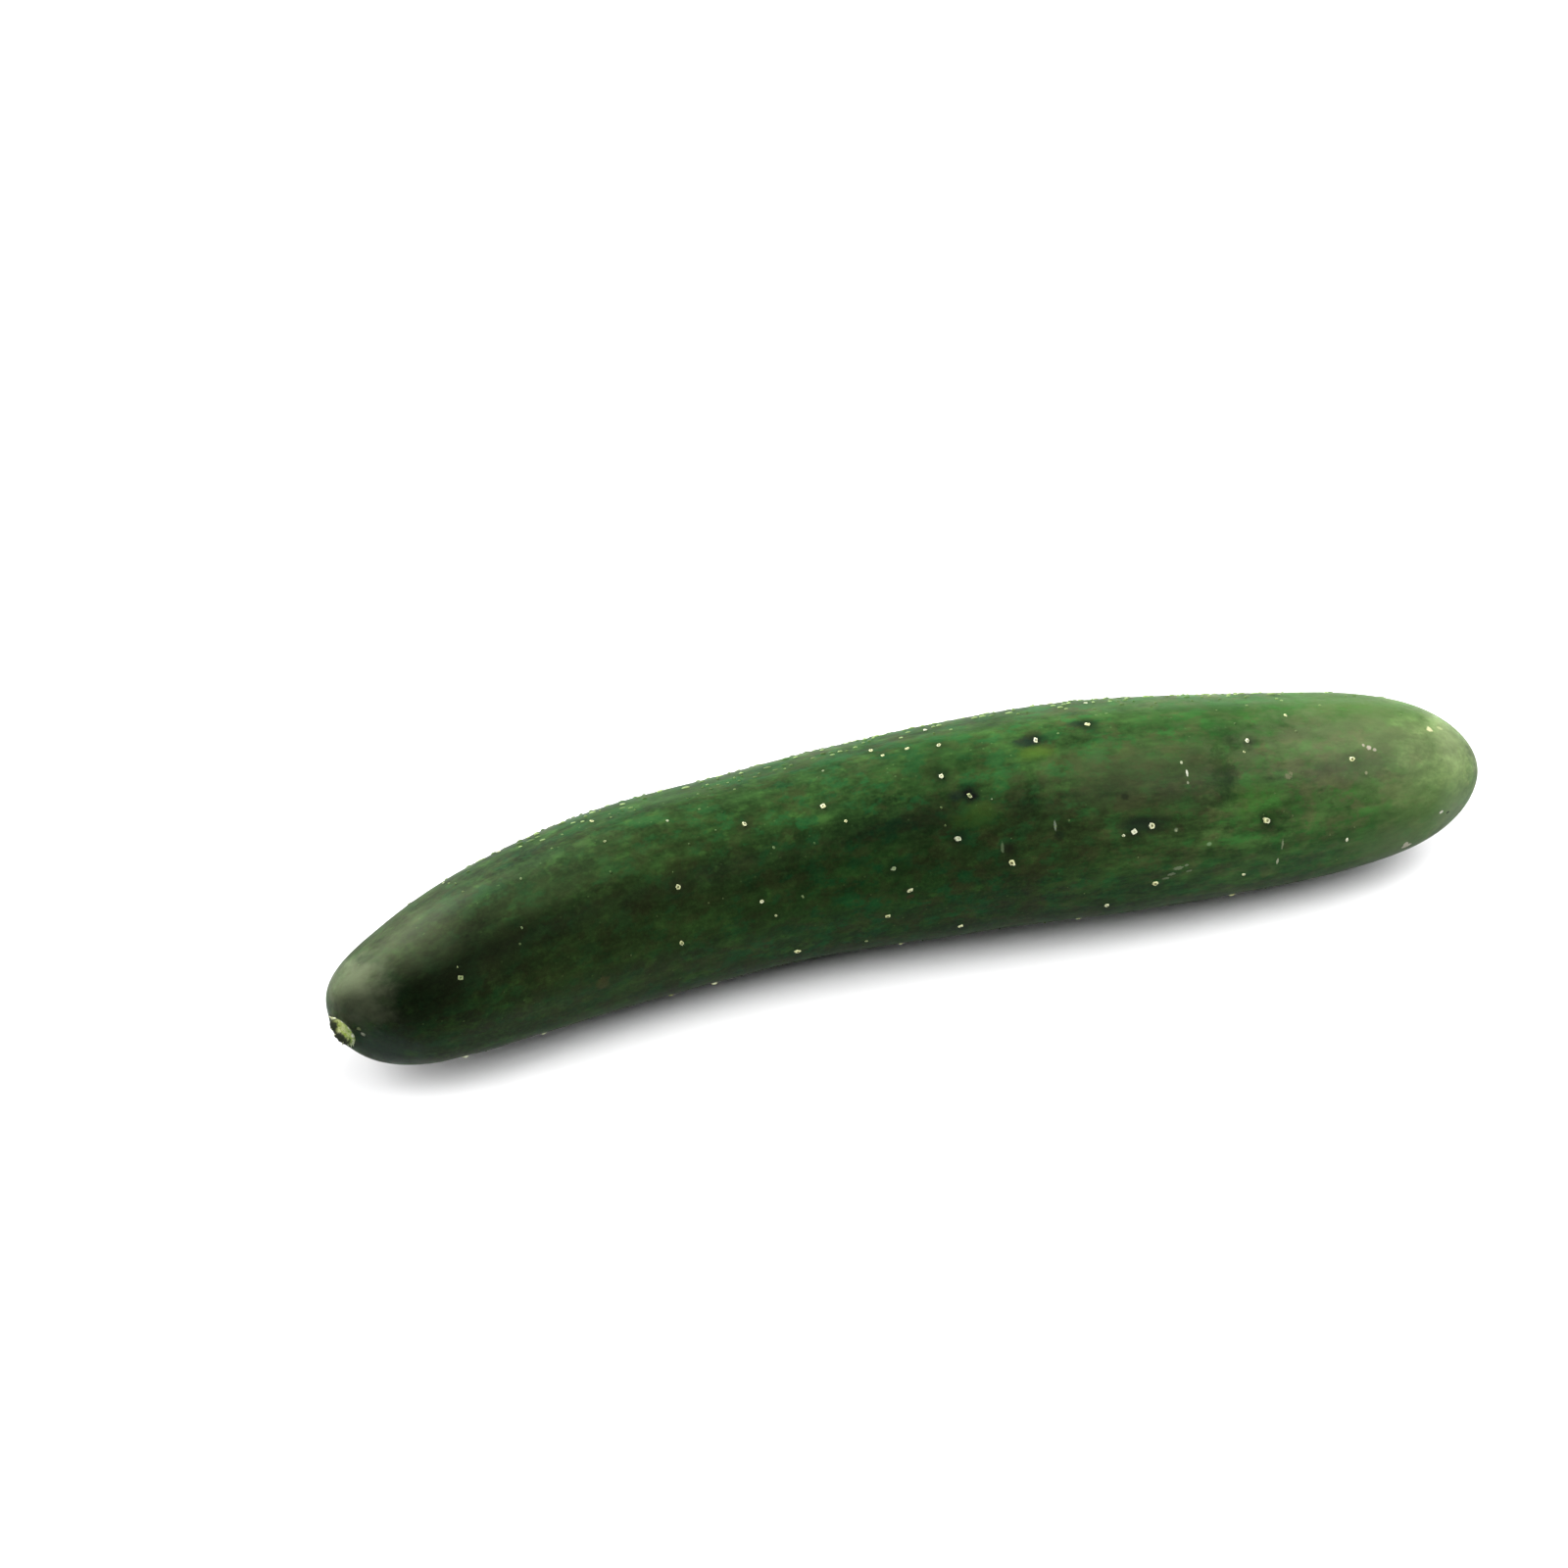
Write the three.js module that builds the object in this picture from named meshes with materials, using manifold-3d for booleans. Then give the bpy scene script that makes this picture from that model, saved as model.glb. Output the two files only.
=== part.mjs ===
// A slicing cucumber, whole and lying on its belly.
// It grows as one piece, so it is one solid: a long body bent along a plan curve, with low ribs,
// warts in rows, a torn stem scar and a small blossom scar, and a narrow flat where it rests.
//
// Millimetres, +Z up. X runs along the fruit with the stem end at -X, and the origin is on the
// ground under the middle of its box. A place on the skin is a station, the distance along the
// centreline from the stem tip, and a turn, the angle in degrees from straight up towards -Y.

import * as THREE from 'three';
import { mergeVertices } from 'three/addons/utils/BufferGeometryUtils.js';
import Module from 'manifold-3d';

// Plan view of the centreline, stem tip first.
const CENTRELINE = [
  [-118.0, -13.0],
  [-102.2, -9.3],
  [-82.2, -2.9],
  [-55.2, 2.5],
  [-20.2, 4.0],
  [15.8, 1.3],
  [51.8, -3.1],
  [87.8, -6.4],
  [118.2, -11.6],
];

// Body radii: a slimmer stem half, the belly, and a taper to the blossom end.
const STEM_RADIUS = 19.25;
const BELLY_RADIUS = 21.45;
const BLOSSOM_RADIUS = 17.2;
const SWELL_FROM = 76;
const SWELL_TO = 152;
const TAPER_FROM = 155;
const TAPER_TO = 240;

// Rounded ends: how far each reaches in, how full its shoulder is and how blunt its tip.
const STEM_END = { reach: 76.5, fullness: 2, bluntness: 3.05 };
const BLOSSOM_END = { reach: 55, fullness: 4.3, bluntness: 1.73 };

// Height of the centreline: the belly presses down and both ends lift clear.
const LOWEST_AXIS = 19.0;
const BLOSSOM_DROOP = 0.3;
const BELLY_PRESS = 0.25;
const AXIS_BLEND = 0.3;
const GROUND = 0.2;

// Low ribs: three broad lobes, and nine faint ribs between the rows of warts.
const LOBES = { count: 3, height: 0.3, turn: 30 };
const RIBS = { count: 9, height: 0.18, turn: 0 };
const RIB_FADE = 30;

// The stem end is pressed to a small flat that faces forward and out, and the press fades out
// along the body.
const STEM_FLAT = { x: -116.4, y: -15.1, turn: 50, softness: 4, fullTo: 20, goneBy: 60 };

// Warts: low six-sided cones. The rows on the side that shows best give each wart's station and
// turn.
const WART = { root: 1.25, tip: 0.6, proud: 0.55, sunk: 1, sides: 6 };
const ROWS = [
  [[24, -47], [30.5, -37], [42.5, -38], [153, -43]],
  [[59.5, -20], [114.5, -13], [126.5, -26], [159, -29]],
  [[104, -3], [116, -4], [121, -5.5], [127, -2], [156.5, 0], [197, 3]],
  [[40.5, 6], [58.5, 5], [71.5, 5], [145.5, 7]],
  [[85.5, 20], [101.5, 21], [125.5, 19], [187, 20]],
  [[35.5, 36], [89.5, 38], [130, 33], [208, 37]],
  [[20.5, 48], [68.5, 45.5], [126.5, 54], [146, 56]],
  [[85, 66], [93.5, 69], [113, 64], [161.5, 64], [165, 62], [188, 67]],
  [[67, 78], [87.5, 76.5], [116, 78.5], [136.5, 72]],
  [[111.5, 94.5], [166, 99], [184, 104], [206, 89]],
  [[66.5, 135], [92.5, 111], [107.5, 115], [127, 114], [157, 113]],
];

// The rows on the far side and underneath are drawn with a fixed seed, at the same spacing.
const FAR_ROWS = {
  first: 132, last: 302, step: 17, start: 20, end: 212, gap: 15, spread: 30, wander: 4, seed: 1931,
};
const CLEAR_OF_GROUND = 3;

// Stem scar: a shallow torn pit in a low collar, with a stub of the stalk inside.
const STEM_SCAR = { x: -116.1, y: -12.6, z: 16.6, turn: 33, sides: 14 };
const PIT = { radius: 3.1, floor: 2.3, depth: 0.9 };
const COLLAR = { radius: 3.9, crown: 3.3, proud: 0.3, sunk: 1.6 };
const STUB = { root: 1.6, tip: 0.9, height: 1.2, seat: 0.3, offset: 0.5, sides: 7 };

// Blossom scar: a small dimple on the tip.
const DIMPLE = { radius: 2.2, floor: 1.2, depth: 0.45, rim: 0.1, sides: 10 };

// The cutters of pit and dimple open out past the surface.
const CUTTER = { flare: 1, above: 3 };

// Mesh: rings along the body and sides round it. Rings crowd towards the ends.
const RINGS = 64;
const SIDES = 44;
const CROWDING = 0.85;
const WELD = 1e-4;
const NEARBY = { station: 0.5, turn: 1 };

const wasm = await Module();
wasm.setup();

const plan = new THREE.SplineCurve(CENTRELINE.map(([x, y]) => new THREE.Vector2(x, y)));
plan.arcLengthDivisions = 600;
const LENGTH = plan.getLength();

const radians = THREE.MathUtils.degToRad;
const smooth = THREE.MathUtils.smoothstep;

function softMax(a, b, blend) {
  return 0.5 * (a + b + Math.hypot(a - b, blend));
}

// Repeatable draws in 0..1, the same on every run.
function drawsFrom(seed) {
  let state = seed;
  return () => {
    state = (state * 16807) % 2147483647;
    return state / 2147483647;
  };
}

function endFactor(distance, end) {
  const inward = Math.max(0, 1 - distance / end.reach);
  return Math.pow(Math.max(0, 1 - Math.pow(inward, end.fullness)), 1 / end.bluntness);
}

function radiusAt(station) {
  const swell = (BELLY_RADIUS - STEM_RADIUS) * smooth(station, SWELL_FROM, SWELL_TO);
  const taper = (BELLY_RADIUS - BLOSSOM_RADIUS) * smooth(station, TAPER_FROM, TAPER_TO);
  const girth = STEM_RADIUS + swell - taper;
  return girth * endFactor(station, STEM_END) * endFactor(LENGTH - station, BLOSSOM_END);
}

function axisHeight(station) {
  const droop = BLOSSOM_DROOP * smooth(station, TAPER_FROM, TAPER_TO);
  return softMax(radiusAt(station) - BELLY_PRESS, LOWEST_AXIS - droop, AXIS_BLEND);
}

function relief(station, turn) {
  const fade = Math.min(1, station / RIB_FADE, (LENGTH - station) / RIB_FADE);
  const lobes = LOBES.height * Math.cos(LOBES.count * radians(turn - LOBES.turn));
  const ribs = RIBS.height * Math.cos(RIBS.count * radians(turn - RIBS.turn));
  return fade * (lobes + ribs);
}

// A point of the plan, with the level direction across the body there, towards -Y.
function planAt(station) {
  const share = THREE.MathUtils.clamp(station / LENGTH, 0, 1);
  const point = plan.getPointAt(share);
  const along = plan.getTangentAt(share);
  return { point, across: new THREE.Vector2(along.y, -along.x) };
}

function outOfFlat() {
  const turn = radians(STEM_FLAT.turn);
  return new THREE.Vector3(-Math.cos(turn), -Math.sin(turn), 0);
}

// Bends a point given across the body, along it and up from its axis into the real place.
function bend(across, station, up) {
  const here = planAt(station);
  const place = new THREE.Vector3(
    here.point.x + across * here.across.x,
    here.point.y + across * here.across.y,
    axisHeight(station) + up,
  );
  const out = outOfFlat();
  const beyond = out.x * (place.x - STEM_FLAT.x) + out.y * (place.y - STEM_FLAT.y);
  const fade = 1 - smooth(station, STEM_FLAT.fullTo, STEM_FLAT.goneBy);
  place.addScaledVector(out, -fade * softMax(beyond, 0, STEM_FLAT.softness));
  place.z = Math.max(place.z - GROUND, 0);
  return place;
}

function skinPoint(station, turn) {
  const radius = radiusAt(station) + relief(station, turn);
  const angle = radians(turn);
  return bend(radius * Math.sin(angle), station, radius * Math.cos(angle));
}

function skinNormal(station, turn) {
  const { station: ahead, turn: aside } = NEARBY;
  const forward = skinPoint(station + ahead, turn).sub(skinPoint(station - ahead, turn));
  const around = skinPoint(station, turn + aside).sub(skinPoint(station, turn - aside));
  return around.cross(forward).normalize();
}

// A manifold solid from a closed geometry, without the empty triangles at a lathe's poles.
function solidOf(geometry) {
  const bare = geometry.clone();
  bare.deleteAttribute('normal');
  bare.deleteAttribute('uv');
  const merged = mergeVertices(bare, WELD);
  const corners = Array.from(merged.index.array);
  const kept = [];
  for (let i = 0; i < corners.length; i += 3) {
    const [a, b, c] = corners.slice(i, i + 3);
    if (a !== b && b !== c && c !== a) kept.push(a, b, c);
  }
  return new wasm.Manifold(new wasm.Mesh({
    numProp: 3,
    vertProperties: new Float32Array(merged.attributes.position.array),
    triVerts: new Uint32Array(kept),
  }));
}

function geometryOf(solid) {
  const mesh = solid.getMesh();
  const geometry = new THREE.BufferGeometry();
  geometry.setAttribute('position', new THREE.BufferAttribute(mesh.vertProperties, 3));
  geometry.setIndex(new THREE.BufferAttribute(mesh.triVerts, 1));
  geometry.computeVertexNormals();
  return geometry;
}

// Turns a shape made along +Y to point along a direction, and moves it to a place.
function stand(geometry, place, direction) {
  const up = new THREE.Vector3(0, 1, 0);
  geometry.applyQuaternion(new THREE.Quaternion().setFromUnitVectors(up, direction));
  geometry.translate(place.x, place.y, place.z);
  return geometry;
}

function lathe(profile, sides) {
  return new THREE.LatheGeometry(profile.map(([r, y]) => new THREE.Vector2(r, y)), sides);
}

// The body: a lathe of the radius, with each ring's relief added, then bent along the plan.
function makeBody() {
  const profile = [];
  for (let ring = 0; ring <= RINGS; ring++) {
    const even = ring / RINGS;
    const crowded = 0.5 - 0.5 * Math.cos(Math.PI * even);
    const station = LENGTH * (even + CROWDING * (crowded - even));
    profile.push([radiusAt(station), station]);
  }
  profile[0][0] = 0;
  profile[RINGS][0] = 0;
  const body = lathe(profile, SIDES);
  const position = body.attributes.position;
  for (let i = 0; i < position.count; i++) {
    const across = position.getX(i);
    const station = position.getY(i);
    const up = position.getZ(i);
    const radius = Math.hypot(across, up);
    const turn = THREE.MathUtils.radToDeg(Math.atan2(across, up));
    const grown = radius > 0 ? 1 + relief(station, turn) / radius : 1;
    const place = bend(across * grown, station, up * grown);
    position.setXYZ(i, place.x, place.y, place.z);
  }
  return solidOf(body);
}

// Every wart's station and turn.
function wartPlaces() {
  const draw = drawsFrom(FAR_ROWS.seed);
  const places = ROWS.flat();
  for (let turn = FAR_ROWS.first; turn <= FAR_ROWS.last; turn += FAR_ROWS.step) {
    let station = FAR_ROWS.start + FAR_ROWS.spread * draw();
    while (station < FAR_ROWS.end) {
      places.push([station, turn + FAR_ROWS.wander * (2 * draw() - 1)]);
      station += FAR_ROWS.gap + FAR_ROWS.spread * draw();
    }
  }
  return places.filter(([station, turn]) => skinPoint(station, turn).z > CLEAR_OF_GROUND);
}

function makeWart([station, turn]) {
  const height = WART.proud + WART.sunk;
  const cone = new THREE.CylinderGeometry(WART.tip, WART.root, height, WART.sides);
  cone.translate(0, WART.proud - height / 2, 0);
  return solidOf(stand(cone, skinPoint(station, turn), skinNormal(station, turn)));
}

function scarPlace(out, distance) {
  const centre = new THREE.Vector3(STEM_SCAR.x, STEM_SCAR.y, STEM_SCAR.z);
  return centre.addScaledVector(out, distance);
}

function scarDirection() {
  const turn = radians(STEM_SCAR.turn);
  return new THREE.Vector3(-Math.cos(turn), -Math.sin(turn), 0);
}

function makeCollar() {
  const ring = lathe([
    [0, -COLLAR.sunk],
    [COLLAR.radius, -COLLAR.sunk],
    [COLLAR.radius, 0],
    [COLLAR.crown, COLLAR.proud],
    [0, COLLAR.proud],
  ], STEM_SCAR.sides);
  const out = scarDirection();
  return solidOf(stand(ring, scarPlace(out, 0), out));
}

function makePit() {
  const cut = lathe([
    [0, -PIT.depth],
    [PIT.floor, -PIT.depth],
    [PIT.radius, COLLAR.proud],
    [PIT.radius + CUTTER.flare, CUTTER.above],
    [0, CUTTER.above],
  ], STEM_SCAR.sides);
  const out = scarDirection();
  return solidOf(stand(cut, scarPlace(out, 0), out));
}

function makeStub() {
  const stub = new THREE.CylinderGeometry(STUB.tip, STUB.root, STUB.height, STUB.sides);
  const out = scarDirection();
  const place = scarPlace(out, STUB.seat - PIT.depth);
  place.z += STUB.offset;
  return solidOf(stand(stub, place, out));
}

function makeDimple() {
  const cut = lathe([
    [0, -DIMPLE.depth],
    [DIMPLE.floor, -DIMPLE.depth],
    [DIMPLE.radius, DIMPLE.rim],
    [DIMPLE.radius + CUTTER.flare, CUTTER.above],
    [0, CUTTER.above],
  ], DIMPLE.sides);
  const along = plan.getTangentAt(1);
  return solidOf(stand(cut, bend(0, LENGTH, 0), new THREE.Vector3(along.x, along.y, 0)));
}

const warts = wasm.Manifold.union(wartPlaces().map(makeWart));
const cucumber = makeBody()
  .add(warts)
  .add(makeCollar())
  .subtract(makePit())
  .add(makeStub())
  .subtract(makeDimple());

const geometry = geometryOf(cucumber);
geometry.computeBoundingBox();
const middle = geometry.boundingBox.getCenter(new THREE.Vector3());
geometry.translate(-middle.x, -middle.y, -geometry.boundingBox.min.z);

const skin = new THREE.MeshStandardMaterial({ color: 0x2f5a2c, roughness: 0.42, metalness: 0 });
const fruit = new THREE.Mesh(geometry, skin);
fruit.name = 'cucumber';

const group = new THREE.Group();
group.add(fruit);

export default group;
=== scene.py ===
# A fresh slicing cucumber on a pale floor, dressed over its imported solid.
# A place on the skin is a station (metres along the centreline from the stem tip) and a turn
# (degrees round from straight up, towards the side that faces the camera).
import math
import random

import bmesh
import bpy
from mathutils import Matrix, Vector, kdtree, noise
from mathutils.bvhtree import BVHTree


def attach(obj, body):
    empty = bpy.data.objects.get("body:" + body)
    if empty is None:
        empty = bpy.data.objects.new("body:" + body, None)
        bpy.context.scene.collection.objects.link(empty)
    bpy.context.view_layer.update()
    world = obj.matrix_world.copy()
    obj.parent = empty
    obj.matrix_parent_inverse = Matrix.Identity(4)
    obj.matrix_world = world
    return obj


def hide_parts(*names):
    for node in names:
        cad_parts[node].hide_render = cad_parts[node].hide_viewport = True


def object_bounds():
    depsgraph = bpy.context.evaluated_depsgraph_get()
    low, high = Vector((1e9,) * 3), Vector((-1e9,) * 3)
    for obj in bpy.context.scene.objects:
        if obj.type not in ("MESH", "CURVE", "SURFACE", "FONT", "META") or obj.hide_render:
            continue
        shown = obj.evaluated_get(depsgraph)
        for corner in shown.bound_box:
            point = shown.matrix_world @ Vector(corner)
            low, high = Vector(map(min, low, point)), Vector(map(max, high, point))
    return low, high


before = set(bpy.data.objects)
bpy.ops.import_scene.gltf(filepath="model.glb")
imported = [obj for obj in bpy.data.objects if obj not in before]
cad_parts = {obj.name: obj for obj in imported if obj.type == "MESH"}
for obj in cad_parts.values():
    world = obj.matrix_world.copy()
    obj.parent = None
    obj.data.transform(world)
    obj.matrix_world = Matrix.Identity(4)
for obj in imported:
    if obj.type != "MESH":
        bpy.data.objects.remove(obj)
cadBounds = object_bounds()
mm = 0.001  # everything is in metres
weld = 0.001 * mm  # points closer together than this are one

print("camera")
view = {
    "place": (-180.84 * mm, -469.82 * mm, 457.85 * mm),
    "down": 40.0,  # degrees below level
    "aside": -18.291,  # degrees from +Y
    "lens": 77.96,
    "sensor": 36.0,
    "clip": (0.01, 50),
}


def makeCamera():
    data = bpy.data.cameras.new("camera")
    data.sensor_fit = "HORIZONTAL"
    data.sensor_width = view["sensor"]
    data.lens = view["lens"]
    data.clip_start, data.clip_end = view["clip"]
    camera = bpy.data.objects.new("camera", data)
    camera.location = view["place"]
    camera.rotation_euler = (math.radians(90 - view["down"]), 0, math.radians(view["aside"]))
    bpy.context.scene.collection.objects.link(camera)
    bpy.context.scene.camera = camera


makeCamera()

print("shape of the fruit")
fruit = {
    "centreline": [  # plan view in millimetres, stem tip first
        (-118.0, -13.0),
        (-102.2, -9.3),
        (-82.2, -2.9),
        (-55.2, 2.5),
        (-20.2, 4.0),
        (15.8, 1.3),
        (51.8, -3.1),
        (87.8, -6.4),
        (118.2, -11.6),
    ],
    "planSteps": 2400,
    "stemRadius": 19.25 * mm,
    "bellyRadius": 21.45 * mm,
    "blossomRadius": 17.2 * mm,
    "swell": (76 * mm, 152 * mm),  # the stations where it widens to the belly
    "taper": (155 * mm, 240 * mm),  # and where it narrows to the blossom end
    "stemEnd": {"reach": 76.5 * mm, "fullness": 2.0, "bluntness": 3.05},
    "blossomEnd": {"reach": 55 * mm, "fullness": 4.3, "bluntness": 1.73},
    "lowestAxis": 19.0 * mm,
    "droop": 0.3 * mm,  # how much lower the axis may lie at the blossom end
    "press": 0.25 * mm,  # how much lower than its radius the axis lies
    "axisBlend": 0.3 * mm,
    "ground": 0.2 * mm,  # how far all of it is let down, and pressed level at the floor
    "lobes": {"count": 3, "height": 0.3 * mm, "turn": 30},
    "ribs": {"count": 9, "height": 0.18 * mm, "turn": 0},
    "ribFade": 30 * mm,
    "flat": {"place": (-116.4 * mm, -15.1 * mm), "turn": 50, "softness": 4 * mm},
    "flatFade": (20 * mm, 60 * mm),
}


def smooth(value, low, high):
    share = min(1, max(0, (value - low) / (high - low)))
    return share * share * (3 - 2 * share)


def softMax(a, b, blend):
    return 0.5 * (a + b + math.hypot(a - b, blend))


def bell(distance, width):
    return math.exp(-((distance / width) ** 2))


def catmullRom(points, share):
    place = share * (len(points) - 1)
    index = min(int(place), len(points) - 2)
    w = place - index
    before = points[max(index - 1, 0)]
    here = points[index]
    after = points[index + 1]
    beyond = points[min(index + 2, len(points) - 1)]
    leaving = (after - before) * 0.5
    arriving = (beyond - here) * 0.5
    cubic = (here - after) * 2 + leaving + arriving
    square = (after - here) * 3 - leaving * 2 - arriving
    return cubic * w**3 + square * w**2 + leaving * w + here


def measurePlan():
    points = [Vector(point) * mm for point in fruit["centreline"]]
    steps = fruit["planSteps"]
    plan = [catmullRom(points, step / steps) for step in range(steps + 1)]
    travelled = [0.0]
    for a, b in zip(plan, plan[1:]):
        travelled.append(travelled[-1] + (b - a).length)
    return plan, travelled


planPoints, planTravelled = measurePlan()
length = planTravelled[-1]


def planAt(station):  # point of the centreline, and the level direction across it
    station = min(length, max(0.0, station))
    low = 0
    high = len(planTravelled) - 1
    while high - low > 1:
        middle = (low + high) // 2
        if planTravelled[middle] <= station:
            low = middle
        else:
            high = middle
    span = planTravelled[high] - planTravelled[low]
    point = planPoints[low].lerp(planPoints[high], (station - planTravelled[low]) / span)
    along = (planPoints[high] - planPoints[low]).normalized()
    return point, Vector((along.y, -along.x))


def endFactor(distance, end):
    inward = max(0, 1 - distance / end["reach"])
    return max(0, 1 - inward ** end["fullness"]) ** (1 / end["bluntness"])


def radiusAt(station):
    swell = (fruit["bellyRadius"] - fruit["stemRadius"]) * smooth(station, *fruit["swell"])
    taper = (fruit["bellyRadius"] - fruit["blossomRadius"]) * smooth(station, *fruit["taper"])
    girth = fruit["stemRadius"] + swell - taper
    atStem = endFactor(max(0, station), fruit["stemEnd"])
    atBlossom = endFactor(max(0, length - station), fruit["blossomEnd"])
    return girth * atStem * atBlossom


def axisHeight(station):
    droop = fruit["droop"] * smooth(station, *fruit["taper"])
    pressed = radiusAt(station) - fruit["press"]
    return softMax(pressed, fruit["lowestAxis"] - droop, fruit["axisBlend"])


def relief(turn, fade):
    lobes = fruit["lobes"]
    ribs = fruit["ribs"]
    rise = lobes["height"] * math.cos(lobes["count"] * math.radians(turn - lobes["turn"]))
    rise += ribs["height"] * math.cos(ribs["count"] * math.radians(turn - ribs["turn"]))
    return fade * rise


ringCache = {}


def ringAt(station):  # what every point of one ring shares
    if station not in ringCache:
        point, across = planAt(station)
        fromEnd = min(station, length - station)
        fade = min(1, max(0, fromEnd) / fruit["ribFade"])
        press = 1 - smooth(station, *fruit["flatFade"])
        ringCache[station] = (point, across, radiusAt(station), axisHeight(station), fade, press)
    return ringCache[station]


def grownPlace(station, turn):  # the fruit as if it had grown straight, for patterns and distances
    radius = ringAt(station)[2]
    angle = math.radians(turn)
    return Vector((station, radius * math.sin(angle), radius * math.cos(angle)))


def bodyPlace(station, turn, extra=0.0):
    point, side, radius, height, fade, press = ringAt(station)
    radius += relief(turn, fade) + extra
    across = radius * math.sin(math.radians(turn))
    up = radius * math.cos(math.radians(turn))
    place = Vector((point.x + across * side.x, point.y + across * side.y, height + up))
    if press > 0:
        flat = fruit["flat"]
        aim = math.radians(flat["turn"])
        out = Vector((-math.cos(aim), -math.sin(aim), 0))
        beyond = out.x * (place.x - flat["place"][0]) + out.y * (place.y - flat["place"][1])
        place -= out * press * softMax(beyond, 0, flat["softness"])
    place.z = max(place.z - fruit["ground"], 0)
    return place


print("places of the warts")
warts = {
    "placed": [  # station in millimetres, turn, size, paleness, and how dark the hollow round it is
        (24, -47, 0.62, 0.6, 0.2), (30.5, -37, 0.5, 0.4, 0.2), (42.5, -38, 0.75, 0.7, 0.2),
        (153, -43, 0.8, 1, 0.3),
        (59.5, -20, 0.7, 1, 0.2), (114.5, -13, 0.75, 1, 0.2), (126.5, -26, 0.68, 1, 0.2),
        (159, -29, 0.7, 0.9, 0.3),
        (104, -3, 0.45, 0.2, 0.1), (116, -4, 0.55, 0.9, 0.2), (121, -5.5, 0.75, 1, 0.2),
        (127, -2, 0.7, 1, 0.3), (156.5, 0, 0.85, 1, 0.9), (197, 3, 0.7, 1, 0.3),
        (40.5, 6, 0.45, 0.15, 0.1), (58.5, 5, 0.45, 0.4, 0.1), (71.5, 5, 0.45, 0.5, 0.1),
        (145.5, 7, 0.9, 1, 1.0),
        (85.5, 20, 0.75, 0.95, 0.5), (101.5, 21, 0.78, 1, 0.5), (125.5, 19, 0.85, 1, 0.7),
        (187, 20, 0.75, 1, 1.0),
        (35.5, 36, 0.4, 0.1, 0.1), (89.5, 38, 0.45, 0.05, 0.2), (130, 33, 0.8, 0.5, 1.2),
        (208, 37, 0.9, 1, 0.5),
        (20.5, 48, 0.8, 0.3, 0.2), (68.5, 45.5, 0.9, 0.85, 0.4), (126.5, 54, 1.1, 0.7, 0.8),
        (146, 56, 0.35, 0.15, 0.2),
        (85, 66, 0.65, 1, 0.1), (93.5, 69, 0.45, 0.15, 0.1), (113, 64, 0.8, 0.2, 0.5),
        (161.5, 64, 0.85, 1, 0.8), (165, 62, 1.15, 1, 0.9), (188, 67, 1.35, 1, 1.0),
        (67, 78, 0.85, 0.8, 0.2), (87.5, 76.5, 0.45, 0.6, 0.1), (116, 78.5, 0.9, 0.8, 0.4),
        (136.5, 72, 1.05, 1, 0.6),
        (111.5, 94.5, 0.8, 0.8, 0.3), (166, 99, 1.1, 1, 0.3), (184, 104, 0.7, 1, 0.3),
        (206, 89, 0.75, 0.9, 0.3),
        (66.5, 135, 0.7, 0.8, 0.2), (92.5, 111, 1.0, 1, 0.3), (107.5, 115, 0.5, 0.3, 0.2),
        (127, 114, 0.8, 1, 0.3), (157, 113, 0.85, 1, 0.3),
    ],
    "farTurns": range(132, 303, 17),  # the rows on the side that faces away
    "farStations": {"start": 20, "end": 212, "gap": 15, "spread": 30},  # millimetres
    "farSize": (0.75, 0.3),  # least, and how much may come on top
    "farDark": (0.25, 0.7),
    "farPaleness": 0.9,
    "wander": 4,  # degrees
    "seed": 1931,
    "clearOfGround": 3 * mm,
    "mound": (0.14 * mm, 0.9 * mm),  # height and width of the swelling under a tip
    "hollow": (0.22 * mm, 1.9 * mm),  # depth and width of the hollow round it
    "reach": 2.6,  # how many widths of the hollow it is felt
    "ragged": (0.35, 1.6 * mm),  # how uneven the hollow's dark edge is, and how closely
}


def drawsFrom(seed):  # the same draws as the solid's
    state = [seed]

    def draw():
        state[0] = state[0] * 16807 % 2147483647
        return state[0] / 2147483647

    return draw


def wartPlaces():
    places = [(station * mm, *rest) for station, *rest in warts["placed"]]
    draw = drawsFrom(warts["seed"])
    far = warts["farStations"]
    leastSize, moreSize = warts["farSize"]
    leastDark, moreDark = warts["farDark"]
    for turn in warts["farTurns"]:
        station = far["start"] + far["spread"] * draw()
        while station < far["end"]:
            wander = warts["wander"] * (2 * draw() - 1)
            size = leastSize + moreSize * math.sin(station * 3) ** 2
            dark = leastDark + moreDark * math.sin(station * 5) ** 4
            places.append((station * mm, turn + wander, size, warts["farPaleness"], dark))
            station += far["gap"] + far["spread"] * draw()
    return [spot for spot in places if bodyPlace(spot[0], spot[1]).z > warts["clearOfGround"]]


wartList = wartPlaces()
wartTree = kdtree.KDTree(len(wartList))
for index, spot in enumerate(wartList):
    wartTree.insert(grownPlace(spot[0], spot[1]), index)
wartTree.balance()
print(len(wartList), "warts")

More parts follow.
